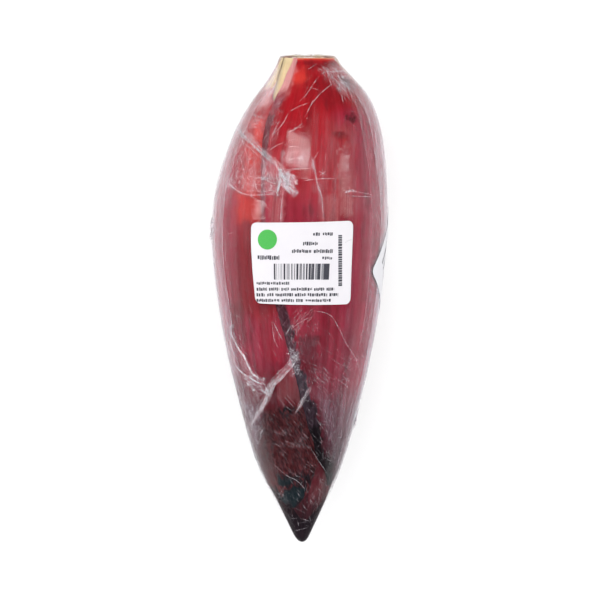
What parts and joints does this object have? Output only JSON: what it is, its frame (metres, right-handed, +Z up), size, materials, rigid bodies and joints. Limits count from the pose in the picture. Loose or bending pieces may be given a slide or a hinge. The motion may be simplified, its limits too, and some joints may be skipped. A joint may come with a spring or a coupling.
{
  "type": "banana blossom",
  "caption": "Pointed crimson banana blossom bud of overlapping bracts on a cut stem, lying on its side, tightly wrapped in clear cling film with paper labels.",
  "frame": {"origin": "on the surface the bud lies on, under the middle of its bounding box", "axes": "+Y runs along the bud from its point to its cut stem, +Z is up, +X is to the right when the point is towards the viewer's side of the picture and the front label faces up"},
  "size_m": [0.0834, 0.2312, 0.0795],
  "materials": {
    "stem_core": "satin",
    "heart_bracts": "satin",
    "bract_inner_front": "satin",
    "bract_underside": "satin",
    "bract_front_left": "satin",
    "bract_front_right": "satin",
    "cling_film": "gloss",
    "front_label": "satin",
    "side_label": "satin"
  },
  "bodies": {
    "root": {"stem_core": "stem_core", "heart_bracts": "heart_bracts", "bract_inner_front": "bract_inner_front", "bract_underside": "bract_underside", "bract_front_left": "bract_front_left", "bract_front_right": "bract_front_right", "cling_film": "cling_film", "front_label": "front_label", "side_label": "side_label"}
  },
  "joints": []
}
